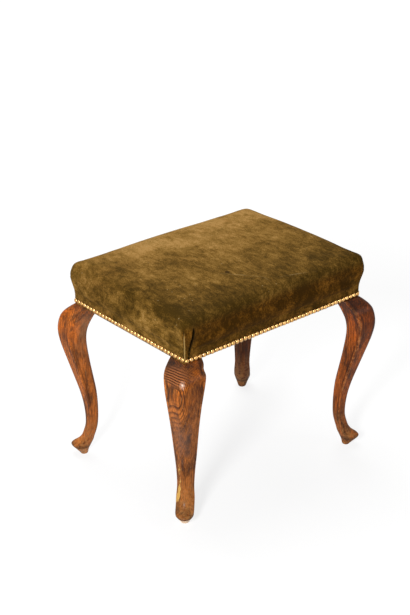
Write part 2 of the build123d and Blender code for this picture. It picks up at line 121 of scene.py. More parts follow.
# The rings are rounds about the log's heart, which wander a little along its length.
drift = clouds(timber_grain, stretched(timber_grain, through, (1, 1, 0.3)), 9.0, 2.0)
drift = product(timber_grain, sums(timber_grain, "SUBTRACT", drift, 0.5), grain_in.outputs["Waver"])
sides = put(timber_grain, "ShaderNodeSeparateXYZ", {0: through})
squares = [
    sums(timber_grain, "POWER", sums(timber_grain, "ABSOLUTE", sides.outputs[axis]), 2.0) for axis in (0, 1)
]
reach = sums(timber_grain, "SQRT", sums(timber_grain, "ADD", *squares))
reach = sums(timber_grain, "ADD", reach, drift)
turns = sums(timber_grain, "DIVIDE", reach, grain_in.outputs["Ring Spacing"])
ring = sums(timber_grain, "POWER", sums(timber_grain, "FRACT", turns), 1.6)
fine = sums(timber_grain, "POWER", sums(timber_grain, "FRACT", product(timber_grain, turns, 4.3)), 1.6)
pores = clouds(timber_grain, stretched(timber_grain, through, (1, 1, 0.06)), 900.0, 2.0, 0.6)
pores = between(timber_grain, pores, 0.56, 0.68)
mottle = clouds(timber_grain, stretched(timber_grain, through, (1, 1, 0.35)), 26.0, 4.0, 0.6)
feed(timber_grain, grain_out, {"Rings": ring, "Fine Rings": fine, "Pores": pores, "Mottle": mottle})


def grain_of(tree, vector, spacing, waver):
    feeds = {"Vector": vector, "Ring Spacing": spacing, "Waver": waver}
    return put(tree, "ShaderNodeGroup", feeds, node_tree=timber_grain)


def sawn_beech(name, turn, dark, light):
    made, tree, shader = finish_of(name)
    place = object_place(tree)
    laid = put(tree, "ShaderNodeMapping", {"Vector": place, "Rotation": turn, "Location": (0.03, 0.05, 0)})
    grain = grain_of(tree, laid.outputs[0], 0.0035, 0.012)
    colour = ramp(tree, grain.outputs["Rings"], (0.0, light), (1.0, dark))
    colour = tint(tree, 0.35, colour, ramp(tree, grain.outputs["Mottle"], (0.3, dark), (0.7, light)))
    feed(tree, shader, {"Base Color": colour, "Roughness": 0.72})
    saw = clouds(tree, stretched(tree, place, (1, 1, 6)), 260.0, 3.0)
    roughen(tree, shader, saw, 0.0004)
    return made


def dress(node, material):
    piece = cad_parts[node]
    piece.data.materials.clear()
    piece.data.materials.append(material)


beech_along = sawn_beech("sawn_beech_along", (0, math.pi / 2, 0), (0.33, 0.19, 0.09), (0.47, 0.30, 0.16))
beech_across = sawn_beech("sawn_beech_across", (math.pi / 2, 0, 0), (0.31, 0.18, 0.085), (0.46, 0.29, 0.155))
for side in ("front", "back"):
    dress("rail_" + side, beech_along)
for side in ("left", "right"):
    dress("rail_" + side, beech_across)

# Riven oak pegs through the joints, and beech blocks glued across the corners behind the posts.
# All of them are closed in by the seat and the bottom cloth.
riven_oak = sawn_beech("riven_oak", (0, 0, 0), (0.22, 0.12, 0.055), (0.34, 0.21, 0.10))
dress("tenon_pegs", riven_oak)
for corner in ("front_left", "front_right", "back_left", "back_right"):
    dress("corner_block_" + corner, beech_along if corner.startswith("front") else beech_across)

# Legs: each is one blank of oak, sawn to the same curve on two faces and rounded at its front and
# inner corners, so that a sharp arris runs down both sides to a toe that turns up off the floor.
# They are stained, waxed and worn, and stand with the seat rails tenoned into their tops.
LEG_SPOTS = {"front_left": (-1, -1), "front_right": (1, -1), "back_left": (-1, 1), "back_right": (1, 1)}
RAIL_CORNER = (248, 183)
POST_FOOT = 0.380
POST_TOP = 0.416
ARRIS_ROUNDING = 1.3
# Each station gives a height, the tip and the inner edge measured out from the rails' corner along
# the diagonal, the width across it and how far its corners are rounded, all in millimetres.
LEG_STATIONS = (
    (0, 3.4, -15, 18, 2),
    (3, 5.4, -15.8, 20.5, 2),
    (6, 8.8, -16.6, 23, 2),
    (10, 12.8, -17.6, 26.5, 2),
    (14, 16.6, -19, 30.5, 2),
    (18, 20.8, -20.8, 34.5, 2),
    (23, 25.0, -23.4, 38.5, 2),
    (27, 22.2, -25.6, 39.5, 3),
    (32, 14.4, -28.4, 40, 4),
    (38, 7.2, -31.4, 40, 6),
    (45, 2.6, -34.4, 40.5, 10),
    (52, -0.6, -37.0, 41, 13),
    (78, -6.9, -44.4, 37.5, 14),
    (118, -5.1, -46.5, 41.4, 14),
    (158, 3.3, -45.1, 48.4, 14),
    (198, 15.8, -38.5, 54.3, 14),
    (238, 29.1, -31.7, 60.8, 14),
    (288, 45.0, -26.3, 71.3, 15),
    (318, 49.2, -30.5, 79.8, 16),
    (346, 43.0, -43.1, 86.1, 16),
    (358, 33.4, -50.2, 83.6, 15),
    (368, 19.1, -55.9, 75.0, 12),
    (374, 8.6, -59.6, 68.2, 7),
    (378, 0, -62.2, 62.2, 3),
)
LEG_LEVELS = (
    [0, 0.7, 2.5, 5, 8, 12, 16, 20, 23, 26, 29, 33, 37, 42, 47, 53, 60, 68]
    + [76 + 9 * step for step in range(23)]
    + [281, 288, 295, 302, 309, 316, 323, 330, 336, 342, 348, 353, 358, 362, 366, 370, 373, 376, 378]
)


def leg_measures(height):
    for at in range(len(LEG_STATIONS) - 1):
        if height <= LEG_STATIONS[at + 1][0]:
            break
    before = LEG_STATIONS[max(at - 1, 0)]
    low = LEG_STATIONS[at]
    high = LEG_STATIONS[at + 1]
    after = LEG_STATIONS[min(at + 2, len(LEG_STATIONS) - 1)]
    step = high[0] - low[0]
    share = (height - low[0]) / step
    found = []
    for column in range(1, 5):
        low_slope = (high[column] - before[column]) / (high[0] - before[0]) * step
        high_slope = (after[column] - low[column]) / (after[0] - low[0]) * step
        found.append(
            (2 * share**3 - 3 * share**2 + 1) * low[column]
            + (share**3 - 2 * share**2 + share) * low_slope
            + (3 * share**2 - 2 * share**3) * high[column]
            + (share**3 - share**2) * high_slope
        )
    return found


def portion(part, whole):
    return min(1.0, max(0.0, part / whole))


def leg_outline(height, tip, inner, width, rounding):
    middle = (tip + inner) / 2
    corners = [
        ((tip, 0), min(rounding, (tip - inner) * 0.3), 8),
        ((middle, width / 2), ARRIS_ROUNDING, 3),
        ((inner, 0), min(rounding, (tip - inner) * 0.3), 6),
        ((middle, -width / 2), ARRIS_ROUNDING, 3),
    ]
    outline = []
    for at, (corner, radius, count) in enumerate(corners):
        corner = Vector(corner)
        back = (Vector(corners[at - 1][0]) - corner).normalized()
        onward = (Vector(corners[(at + 1) % 4][0]) - corner).normalized()
        half = back.angle(onward) / 2
        centre = corner + (back + onward).normalized() * radius / math.sin(half)
        start = (corner + back * radius / math.tan(half)) - centre
        finish = (corner + onward * radius / math.tan(half)) - centre
        for step in range(count):
            share = step / (count - 1)
            arm = start.lerp(finish, share)
            outline.append((centre + arm.normalized() * radius, 1.0 if count == 3 else 0.0))
        following, next_radius, _ = corners[(at + 1) % 4]
        following = Vector(following)
        next_half = (corner - following).angle(Vector(corners[(at + 2) % 4][0]) - following) / 2
        leave = corner + onward * radius / math.tan(half)
        arrive = following - onward * next_radius / math.tan(next_half)
        for share in (0.33, 0.67):
            outline.append((leave.lerp(arrive, share), 0.0))
    # Towards the floor the section loses its corners: round at the toe and drawn in to the heel.
    round_off = portion(52 - height, 26)
    front = max(point.x for point, _ in outline)
    rear = min(point.x for point, _ in outline)
    widest = max((front + rear) / 2, front - width / 2)
    foot = []
    for point, sharp in outline:
        turn = math.atan2(point.y / width * 2, (point.x - middle) / (tip - inner) * 2)
        run = front - widest if math.cos(turn) > 0 else widest - rear
        egg = Vector((widest + run * math.cos(turn), width / 2 * math.sin(turn)))
        foot.append((point.lerp(egg, round_off), sharp * (1 - round_off)))
    return foot


def only(kind, parts):
    return [part for part in parts if isinstance(part, kind)]


def shape(name, form):
    mesh = bpy.data.meshes.new(name)
    form.to_mesh(mesh)
    form.free()
    piece = bpy.data.objects.new(name, mesh)
    bpy.context.collection.objects.link(piece)
    return piece


def carve_leg(name, sx, sy):
    foot = Vector((sx * RAIL_CORNER[0], sy * RAIL_CORNER[1], 0))
    outwards = Vector((sx, sy, 0)).normalized()
    sideways = Vector((-sy, sx, 0)).normalized()
    form = bmesh.new()
    wear = form.verts.layers.float.new("arris")
    bmesh.ops.create_circle(form, cap_ends=True, segments=28, radius=0.02)

    def settle(cap, height):
        outline = leg_outline(height, *leg_measures(height))
        for corner, (point, sharp) in zip(cap.verts, outline):
            corner.co = (foot + outwards * point.x + sideways * point.y + Vector((0, 0, height))) * 0.001
            corner[wear] = sharp

    def raised(cap, kept=False):
        grown = bmesh.ops.extrude_face_region(form, geom=[cap])
        if not kept:
            bmesh.ops.delete(form, geom=[cap], context="FACES_ONLY")
        return only(bmesh.types.BMFace, grown["geom"])[0]

    cap = form.faces[:][0]
    settle(cap, 0)
    cap = raised(cap, kept=True)
    for height in LEG_LEVELS[1:]:
        settle(cap, height)
        cap = raised(cap)
    for corner in cap.verts:
        corner.co.z = POST_FOOT
    cap = raised(cap)
    for corner in cap.verts:
        corner.co.z = POST_TOP
    bmesh.ops.inset_individual(form, faces=[cap], thickness=0.001)
    sole = [face for face in form.faces if all(corner.co.z < 1e-6 for corner in face.verts)]
    bmesh.ops.inset_individual(form, faces=sole, thickness=0.0012)
    bmesh.ops.recalc_face_normals(form, faces=form.faces)
    for face in form.faces:
        face.smooth = True
    piece = shape(name, form)
    rounder = piece.modifiers.new("rounded", "SUBSURF")
    rounder.levels = 2
    rounder.render_levels = 2
    return piece


def offset_from(tree, place, centre):
    return put(tree, "ShaderNodeVectorMath", {0: place, 1: centre}, operation="SUBTRACT").outputs[0]


def length_of(tree, vector):
    return put(tree, "ShaderNodeVectorMath", {0: vector}, operation="LENGTH").outputs["Value"]


def stained_oak(name, heart, lean, dark, light, rubbed, grimy, sole, marks=(), ringed=()):
    made, tree, shader = finish_of(name)
    place = object_place(tree)
    shifted = offset_from(tree, place, heart)
    laid = put(tree, "ShaderNodeMapping", {"Vector": shifted, "Rotation": lean}).outputs[0]
    grain = grain_of(tree, laid, 0.0032, 0.008)
    middling = tuple(a * 0.4 + b * 0.6 for a, b in zip(dark, light))
    colour = ramp(tree, grain.outputs["Mottle"], (0.34, middling), (0.66, light))
    height = put(tree, "ShaderNodeSeparateXYZ", {0: place}).outputs[2]
    # The stain is ruddier about the knee, where the rings show as bold lines.
    ruddy = between(tree, clouds(tree, place, 38.0, 4.0), 0.36, 0.60)
    ruddy = product(tree, ruddy, between(tree, height, 0.25, 0.33))
    warm = (light[0] * 1.3, light[1] * 1.05, light[2] * 0.4, 1)
    colour = tint(tree, product(tree, ruddy, 0.7), colour, warm)
    bold = between(tree, clouds(tree, laid, 13.0, 2.0), 0.36, 0.60, 0.50, 1.0)
    bold = product(tree, bold, between(tree, height, 0.22, 0.31, 0.38, 1.0))
    line = between(tree, grain.outputs["Rings"], 0.22, 0.66)
    colour = tint(tree, product(tree, line, bold), colour, (*dark, 1))
    fine = product(tree, grain.outputs["Fine Rings"], between(tree, height, 0.20, 0.31, 0.55, 0.30))
    colour = tint(tree, fine, colour, (*dark, 1))
    colour = tint(tree, product(tree, grain.outputs["Pores"], 0.55), colour, (0.012, 0.005, 0.003, 1))
    # Pale and dark streaks follow the grain.
    streak = clouds(tree, stretched(tree, laid, (1, 1, 0.07)), 330.0, 4.0, 0.70)
    colour = tint(tree, 1.0, colour, between(tree, streak, 0.38, 0.62, 0.60, 1.45), "MULTIPLY")
    # Wax and handling have left dark smears down the leg.
    smudge = clouds(tree, stretched(tree, place, (1, 1, 0.25)), 44.0, 6.0, 0.66)
    grime = between(tree, smudge, 0.45, 0.62)
    colour = tint(tree, product(tree, grime, grimy), colour, (0.026, 0.008, 0.003, 1))
    scratch = clouds(tree, stretched(tree, place, (1, 1, 0.05)), 420.0, 3.0, 0.7)
    scratch = product(tree, between(tree, scratch, 0.60, 0.70), between(tree, smudge, 0.40, 0.56))
    colour = tint(tree, product(tree, scratch, 0.45), colour, (0.52, 0.25, 0.09, 1))
    # The arrises are rubbed pale, and the toe and sole are scuffed.
    chips = clouds(tree, place, 150.0, 3.0, 0.65)
    arris = put(tree, "ShaderNodeAttribute", attribute_name="arris").outputs["Fac"]
    beside = product(tree, between(tree, arris, 0.02, 0.30), between(tree, arris, 0.75, 0.45))
    beside = product(tree, beside, between(tree, smudge, 0.38, 0.56, 0.2, 0.7))
    colour = tint(tree, beside, colour, (*dark, 1))
    rub = product(tree, between(tree, arris, 0.50, 0.95), between(tree, chips, 0.48, 0.58))
    colour = tint(tree, product(tree, rub, 0.40), colour, (*rubbed, 1))
    # The top of each leg, against the seat, is darkened: painted shade under the seat, with some grime.
    nook = between(tree, sums(tree, "ADD", height, product(tree, smudge, 0.06)), 0.375, 0.420)
    colour = tint(tree, product(tree, nook, 0.60), colour, (0.020, 0.006, 0.002, 1))
    scuff = product(tree, between(tree, height, 0.110, 0.012), between(tree, chips, 0.36, 0.62))
    colour = tint(tree, product(tree, scuff, 0.60), colour, (0.40, 0.19, 0.060, 1))
    # A dark band just above the sole: painted shadow under the lip of the toe.
    painted_lip_shadow = product(tree, between(tree, height, 0.028, 0.021), between(tree, height, 0.014, 0.018))
    colour = tint(tree, product(tree, painted_lip_shadow, 0.6), colour, (0.030, 0.014, 0.007, 1))
    bare = product(tree, between(tree, height, 0.0175, 0.0145), between(tree, chips, 0.26, 0.44, 0.6, 1.0))
    colour = tint(tree, product(tree, bare, sole), colour, (0.84, 0.62, 0.43, 1))
    # Marks, each a ragged patch about a centre: wear and smears, painted shade under the seat, and one
    # painted highlight.
    ragged = product(tree, clouds(tree, stretched(tree, place, (1, 1, 0.3)), 210.0, 3.0, 0.7), 1.6)
    for centre, spread, edge, strength, tone in marks:
        far = length_of(tree, stretched(tree, offset_from(tree, place, centre), spread))
        mark = between(tree, sums(tree, "ADD", far, ragged), 1.66, 1.66 - edge)
        colour = tint(tree, product(tree, mark, strength), colour, tone)
    # Rings that the knee cuts across show as a stack of bold lines on a paler ground.
    for centre, spread, slope, ground in ringed:
        away = offset_from(tree, place, centre)
        far = length_of(tree, stretched(tree, away, spread))
        patch = between(tree, sums(tree, "ADD", far, product(tree, chips, 0.5)), 1.25, 0.75)
        down = put(tree, "ShaderNodeVectorMath", {0: away, 1: slope}, operation="DOT_PRODUCT")
        waver = product(tree, clouds(tree, place, 28.0, 2.0), 0.008)
        down = sums(tree, "ADD", down.outputs["Value"], waver)
        line = between(tree, sums(tree, "PINGPONG", down, 0.0031), 0.0014, 0.0023)
        colour = tint(tree, product(tree, patch, 0.75), colour, ground)
        colour = tint(tree, product(tree, patch, line), colour, (*dark, 1))
    gloss = between(tree, smudge, 0.3, 0.7, 0.17, 0.32)
    gloss = sums(tree, "ADD", gloss, product(tree, scuff, 0.3), clamp=True)
    feed(tree, shader, {"Base Color": colour, "Roughness": 0.6, "Specular IOR Level": 0.0})
    feed(tree, shader, {"Coat Weight": 0.24, "Coat Roughness": gloss})
    ridges = sums(tree, "ADD", grain.outputs["Rings"], product(tree, grain.outputs["Pores"], 0.9))
    roughen(tree, shader, product(tree, ridges, -1.0), 0.0004, 0.8)
    return made


# Each mark has its centre, how fast it falls off each way, its edge, its strength and its tone.
# The near leg has lost a long splinter of its stain and has dark smears; its pale patch on the knee is a
# painted highlight, and its dark patch just under the seat is painted shade.
FRONT_MARKS = (
    # Painted shade under the seat.
    ((-0.264, -0.160, 0.368), (20, 20, 40), 0.7, 0.95, (0.018, 0.012, 0.009, 1)),
    ((-0.243, -0.214, 0.330), (55, 55, 22), 0.9, 0.85, (0.028, 0.009, 0.003, 1)),
    ((-0.262, -0.190, 0.190), (32, 32, 8.5), 0.9, 0.62, (0.150, 0.078, 0.054, 1)),
    ((-0.250, -0.197, 0.225), (90, 90, 17), 0.9, 0.85, (0.045, 0.026, 0.019, 1)),
    ((-0.246, -0.190, 0.165), (90, 90, 17), 0.9, 0.75, (0.050, 0.028, 0.020, 1)),
    ((-0.258, -0.172, 0.028), (75, 75, 75), 0.8, 0.80, (0.045, 0.022, 0.012, 1)),
    # Painted highlight on the knee.
    ((-0.274, -0.206, 0.351), (120, 120, 66), 0.7, 0.72, (0.80, 0.54, 0.40, 1)),
    ((-0.2478, -0.1615, 0.076), (150, 150, 16), 0.16, 1.0, (0.52, 0.29, 0.070, 1)),
)
FRONT_RINGS = (
    ((-0.271, -0.180, 0.355), (26, 26, 46), (0.70, 0.10, 1.0), (0.28, 0.096, 0.032, 1)),
)
RIGHT_MARKS = (
    ((0.272, -0.208, 0.335), (15, 15, 9), 0.7, 0.72, (0.040, 0.006, 0.001, 1)),
    # Painted shade under the seat.
    ((0.226, -0.190, 0.368), (18, 18, 22), 0.8, 0.80, (0.024, 0.007, 0.002, 1)),
)
LEFT_MARKS = (
    ((-0.243, 0.155, 0.325), (24, 30, 10), 0.9, 0.50, (0.38, 0.18, 0.080, 1)),
    # Painted shade under the seat.
    ((-0.225, 0.165, 0.370), (20, 20, 30), 0.8, 0.75, (0.026, 0.008, 0.003, 1)),
)
WORN_PALE = (0.52, 0.21, 0.065)
WORN_DARK = (0.035, 0.012, 0.005)
# For each leg: where the heart of its log lay, how the grain leans, its tones, how soiled it is,
# how bare its sole is, and its marks.
LEG_TIMBER = {
    "front_left": {
        "heart": (-0.130, -0.205, 0),
        "lean": (0.02, -0.03, 0),
        "dark": (0.028, 0.007, 0.0015),
        "light": (0.42, 0.128, 0.022),
        "rubbed": WORN_PALE,
        "grimy": 0.85,
        "sole": 1.0,
        "marks": FRONT_MARKS,
        "ringed": FRONT_RINGS,
    },
    "front_right": {
        "heart": (0.150, -0.120, 0),
        "lean": (0.03, 0.04, 0),
        "dark": (0.024, 0.005, 0.001),
        "light": (0.45, 0.106, 0.013),
        "rubbed": WORN_PALE,
        "grimy": 0.80,
        "sole": 0.0,
        "marks": RIGHT_MARKS,
    },
    "back_left": {
        "heart": (-0.150, 0.120, 0),
        "lean": (-0.03, -0.02, 0),
        "dark": (0.056, 0.012, 0.002),
        "light": (0.57, 0.158, 0.024),
        "rubbed": WORN_DARK,
        "grimy": 0.75,
        "sole": 0.1,
        "marks": LEFT_MARKS,
    },
    "back_right": {
        "heart": (0.150, 0.100, 0),
        "lean": (-0.02, 0.03, 0),
        "dark": (0.020, 0.005, 0.0012),
        "light": (0.19, 0.048, 0.010),
        "rubbed": WORN_PALE,
        "grimy": 0.78,
        "sole": 0.0,
    },
}
CHIP_PLACE = Vector((-0.2112, -0.2030, 0.361))
CHIP_REACH = 0.010
CHIP_DEPTH = 0.0042
for corner, (sx, sy) in LEG_SPOTS.items():
    leg = carve_leg("oak_leg_" + corner, sx, sy)
    if corner == "front_left":
        # A chip is out of its arris, just under the seat.
        for point in leg.data.vertices:
            far = (point.co - CHIP_PLACE).length
            point.co += Vector((-0.7, 0.7, 0)) * CHIP_DEPTH * max(0.0, 1 - far / CHIP_REACH)
    leg.data.materials.append(stained_oak("stained_oak_" + corner, **LEG_TIMBER[corner]))
    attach(leg, "root")
    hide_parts("leg_" + corner)

# Webbing: eight lengths of woven jute, stretched over the rails and passed over and under each other.
# Each end is held by two blued tacks, and the whole is closed in by the seat.
STRAP_RUNS = (-0.092, 0.0, 0.092)
STRAP_ROWS = (-0.176, -0.088, 0.0, 0.088, 0.176)
STRAP_REACH_ALONG = 0.243
STRAP_REACH_ACROSS = 0.178
STRAP_HALF_WIDTH = 0.025
STRAP_LEVEL = 0.417
STRAP_LIFT = 0.0022
CROSSING_REACH = 0.035
CROSSING_SLOPE = 0.0095


def lay_strap(form, along_x, at, reach, crossings):
    strap = bmesh.ops.create_grid(form, x_segments=120, y_segments=4, size=1.0)["verts"]
    for point in strap:
        run = point.co.x * reach
        side = point.co.y * STRAP_HALF_WIDTH
        lift = 0.0
        for crossing in crossings:
            lift = max(lift, STRAP_LIFT * portion(CROSSING_REACH - abs(run - crossing), CROSSING_SLOPE))
        height = STRAP_LEVEL + lift
        point.co = (run, at + side, height) if along_x else (at + side, run, height)


def thicken(piece, thickness):
    wall = piece.modifiers.new("thickness", "SOLIDIFY")
    wall.thickness = thickness
    wall.offset = 0.0


def threads(tree, place, fineness, operation):
    warp, weft = (
        put(tree, "ShaderNodeTexWave", {"Vector": place, "Scale": fineness}, bands_direction=way).outputs[1]
        for way in "XY"
    )
    return sums(tree, operation, warp, weft)


straps = bmesh.new()
for row, at in enumerate(STRAP_RUNS):
    over = [x for column, x in enumerate(STRAP_ROWS) if (row + column) % 2 == 0]
    lay_strap(straps, True, at, STRAP_REACH_ALONG, over)
for column, at in enumerate(STRAP_ROWS):
    over = [y for row, y in enumerate(STRAP_RUNS) if (row + column) % 2 == 1]
    lay_strap(straps, False, at, STRAP_REACH_ACROSS, over)
bmesh.ops.recalc_face_normals(straps, faces=straps.faces)
for face in straps.faces:
    if face.normal.z < 0:
        face.normal_flip()
webbing = shape("jute_webbing", straps)
thicken(webbing, 0.0019)
jute, jute_tree, jute_shader = finish_of("jute_webbing")
jute_place = object_place(jute_tree)
weave = threads(jute_tree, jute_place, 180.0, "MULTIPLY")
fibre = clouds(jute_tree, jute_place, 420.0, 3.0)
jute_colour = ramp(jute_tree, weave, (0.0, (0.20, 0.14, 0.075)), (0.6, (0.43, 0.33, 0.19)))
jute_colour = tint(jute_tree, product(jute_tree, fibre, 0.5), jute_colour, (0.27, 0.19, 0.10, 1))
feed(jute_tree, jute_shader, {"Base Color": jute_colour, "Roughness": 0.92})
roughen(jute_tree, jute_shader, weave, 0.0005)
webbing.data.materials.append(jute)
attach(webbing, "root")
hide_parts("webbing_lengthwise", "webbing_crosswise")

# Webbing tacks: blued steel with flat heads, in pairs.
# They are hammered through the ends of the webbing into the tops of the rails.
blued, blued_tree, blued_shader = finish_of("blued_steel")
blued_cloud = clouds(blued_tree, object_place(blued_tree), 300.0, 3.0)
blued_colour = ramp(blued_tree, blued_cloud, (0.3, (0.05, 0.055, 0.07)), (0.7, (0.16, 0.15, 0.15)))
feed(blued_tree, blued_shader, {"Base Color": blued_colour, "Metallic": 1.0, "Roughness": 0.42})
dress("webbing_tacks", blued)

# Hessian: one sheet of open jute cloth over the webbing, which carries the stuffing.
# It is cut a little smaller than the frame and stretched tight.
HESSIAN_LEVEL = 0.4209
hessian_form = bmesh.new()
bmesh.ops.create_grid(hessian_form, x_segments=60, y_segments=44, size=0.5)
bmesh.ops.scale(hessian_form, vec=(0.486, 0.356, 1), verts=hessian_form.verts)
for point in hessian_form.verts:
    point.co.z = HESSIAN_LEVEL + 0.0002 * noise.noise(point.co * 30)
hessian = shape("hessian_sheet", hessian_form)
thicken(hessian, 0.0007)
open_weave, open_tree, open_shader = finish_of("hessian_cloth")
weave = threads(open_tree, object_place(open_tree), 95.0, "MAXIMUM")
open_colour = ramp(open_tree, weave, (0.2, (0.16, 0.11, 0.06)), (0.8, (0.45, 0.34, 0.20)))
feed(open_tree, open_shader, {"Base Color": open_colour, "Roughness": 0.95})
roughen(open_tree, open_shader, weave, 0.0006)
hessian.data.materials.append(open_weave)
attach(hessian, "root")
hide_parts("hessian")

# Seat: firm hair stuffing and cotton wadding under one hide of suede, which is drawn down over the
# rails, folded into a pleat at each corner and nailed along its lower edge.
# It starts as a block a little under size, is swollen as cloth, and gets its pleats afterwards.
SEAT_HALF = Vector((0.250, 0.185))
SEAT_FOOT = 0.378
SEAT_SWELL = 0.007
SEAT_BLOCK = (0.5160, 0.3868, 0.094)
SEAT_CUTS = (0.386, 0.394, 0.400, 0.406, 0.412, 0.418, 0.424, 0.430, 0.436, 0.442, 0.449)
BLOCK_CORNER = 0.017
BLOCK_EDGE = 0.0135
WAIST_DRAW = 0.0072
CROWN_RISE = 0.0060
CROWN_MIDDLE = 0.0034
END_RISE = 0.0022
END_REACH = 0.0030
CORNER_REACH = 0.016
SWELL_FRAMES = 20
SWELL_LIMIT = 0.0035


def eased(share):
    return share * share * (3 - 2 * share)


def cut_through(form, place, way, clear_outer=False):
    whole = form.verts[:] + form.edges[:] + form.faces[:]
    bmesh.ops.bisect_plane(form, geom=whole, plane_co=place, plane_no=way, clear_outer=clear_outer)


def smooth_out(form, verts):
    bmesh.ops.smooth_vert(form, verts=verts, factor=0.5, use_axis_x=True, use_axis_y=True, use_axis_z=True)


def seat_block():
    form = bmesh.new()
    bmesh.ops.create_cube(form, size=1.0)
    bmesh.ops.scale(form, vec=SEAT_BLOCK, verts=form.verts)
    bmesh.ops.translate(form, vec=(0, 0, SEAT_FOOT + SEAT_BLOCK[2] / 2), verts=form.verts)
    uprights = [edge for edge in form.edges if abs(edge.verts[0].co.z - edge.verts[1].co.z) > 0.01]
    rounding = {"affect": "EDGES", "segments": 5, "profile": 0.5, "material": -1}
    bmesh.ops.bevel(form, geom=uprights, offset=BLOCK_CORNER, **rounding)
    rim = [edge for edge in form.edges if all(end.co.z > SEAT_FOOT + 0.09 for end in edge.verts)]
    bmesh.ops.bevel(form, geom=rim, offset=BLOCK_EDGE, **rounding)
    for height in SEAT_CUTS:
        cut_through(form, (0, 0, height), (0, 0, 1))
    for point in form.verts:
        draw = (1 - eased(portion(point.co.z - 0.400, 0.040))) * WAIST_DRAW
        point.co.x -= math.copysign(draw, point.co.x)
        point.co.y -= math.copysign(draw, point.co.y)
    piece = shape("suede_seat", form)
    bpy.context.view_layer.objects.active = piece
    remesh = piece.modifiers.new("even", "REMESH")
    remesh.mode = "VOXEL"
    remesh.voxel_size = 0.0055
    bpy.ops.object.modifier_apply(modifier="even")
    # The stuffing is built up to a crown, with its edges bowed a little upwards.
    for point in piece.data.vertices:
        rise = portion(point.co.z - 0.420, 0.045)
        along = 1 - min(1.0, abs(point.co.x) / 0.257) ** 2
        across = 1 - min(1.0, abs(point.co.y) / 0.192) ** 2
        point.co.z += rise * (CROWN_RISE * max(along, across) + CROWN_MIDDLE * along * across)
        # The right-hand end was stuffed a little fuller.
        end = portion(point.co.x - 0.10, 0.14)
        point.co.z += rise * end * END_RISE
        point.co.x += rise * end * END_REACH
    return piece


def swell_seat(piece):
    before = [point.co.copy() for point in piece.data.vertices]
    held = piece.vertex_groups.new(name="held")
    for point in piece.data.vertices:
        grip = portion(0.408 - point.co.z, 0.012)
        if grip > 0:
            held.add([point.index], grip, "REPLACE")
    cloth = piece.modifiers.new("swell", "CLOTH")
    cloth.settings.quality = 5
    cloth.settings.mass = 0.3
    cloth.settings.tension_stiffness = 18
    cloth.settings.compression_stiffness = 18
    cloth.settings.shear_stiffness = 8
    cloth.settings.bending_stiffness = 2.5
    cloth.settings.vertex_group_mass = "held"
    cloth.settings.use_pressure = True
    cloth.settings.uniform_pressure_force = 4.0
    cloth.settings.effector_weights.gravity = 0
    cloth.collision_settings.use_collision = False
    cloth.point_cache.frame_start = 1
    cloth.point_cache.frame_end = SWELL_FRAMES
    for moment in range(1, SWELL_FRAMES + 1):
        bpy.context.scene.frame_set(moment)
    bpy.context.view_layer.objects.active = piece
    bpy.ops.object.modifier_apply(modifier="swell")
    bpy.context.scene.frame_set(1)
    # The firm stitched edge under the suede lets it move only a little.
    for point, start in zip(piece.data.vertices, before):
        moved = point.co - start
        if moved.length > SWELL_LIMIT:
            point.co = start + moved.normalized() * SWELL_LIMIT


def seat_bulge(height):
    return SEAT_SWELL * eased(portion(height - 0.398, 0.050))


def square_corner(point, half, radius):
    centre = half - Vector((CORNER_REACH, CORNER_REACH))
    arm = Vector((abs(point.x) - centre.x, abs(point.y) - centre.y))
    if arm.x > 0 and arm.y > 0:
        arm.normalize()
        reach = CORNER_REACH / max(arm.x, arm.y)
        inner = CORNER_REACH - radius
        if min(arm.x, arm.y) * reach > inner:
            part = inner * (arm.x + arm.y)
            reach = part + math.sqrt(max(0.0, part * part - 2 * inner * inner + radius * radius))
        return centre.x + arm.x * reach, centre.y + arm.y * reach
    if arm.x > arm.y:
        return half.x, abs(point.y)
    return abs(point.x), half.y


def past_corner(point):
    return min(abs(point.x) - SEAT_HALF.x, abs(point.y) - SEAT_HALF.y)


seat = seat_block()
swell_seat(seat)
seat_form = bmesh.new()
seat_form.from_mesh(seat.data)
for times in range(3):
    smooth_out(seat_form, [point for point in seat_form.verts if point.co.z > 0.39])
cut_through(seat_form, (0, 0, SEAT_FOOT + 0.0022), (0, 0, -1), clear_outer=True)
for point in seat_form.verts:
    if point.co.z < SEAT_FOOT + 0.0024:
        point.co.z = SEAT_FOOT
bmesh.ops.subdivide_edges(seat_form, edges=seat_form.edges[:], cuts=1, smooth=0.0, use_grid_fill=True)
# The lowest inch lies flat on the rails and keeps their corner, which softens higher up.
SIDE_TOP = 0.476
SIDE_BAND = 0.025
SHOULDER_FOOT = 0.440
SHOULDER_BAND = 0.028
ROLL_RISE = 0.0018
for point in seat_form.verts:
    beyond = max(abs(point.co.x) - SEAT_HALF.x, abs(point.co.y) - SEAT_HALF.y)
    if point.co.z > SIDE_TOP or beyond < -SIDE_BAND:
        continue
    flat = portion(0.410 - point.co.z, 0.014)
    crisp = portion(0.474 - point.co.z, 0.024) * portion(past_corner(point.co) + 0.026, 0.014)
    grown = seat_bulge(point.co.z)
    round_by = 0.0035 + 0.011 * portion(point.co.z - 0.444, 0.024)
    x, y = square_corner(point.co, SEAT_HALF + Vector((grown, grown)), round_by)
    share = max(flat, crisp)
    point.co.x += (math.copysign(x, point.co.x) - point.co.x) * share
    point.co.y += (math.copysign(y, point.co.y) - point.co.y) * share
for times in range(3):
    shoulders = [
        point
        for point in seat_form.verts
        if point.co.z > SHOULDER_FOOT and past_corner(point.co) > -SHOULDER_BAND
    ]
    smooth_out(seat_form, shoulders)
# The stitched roll keeps each upper corner full.
for point in seat_form.verts:
    full = eased(portion(past_corner(point.co) + 0.030, 0.030))
    full *= eased(portion(point.co.z - 0.436, 0.026))
    if point.co.x > 0 and point.co.y > 0:
        full *= 0.2
    point.co.z += ROLL_RISE * full

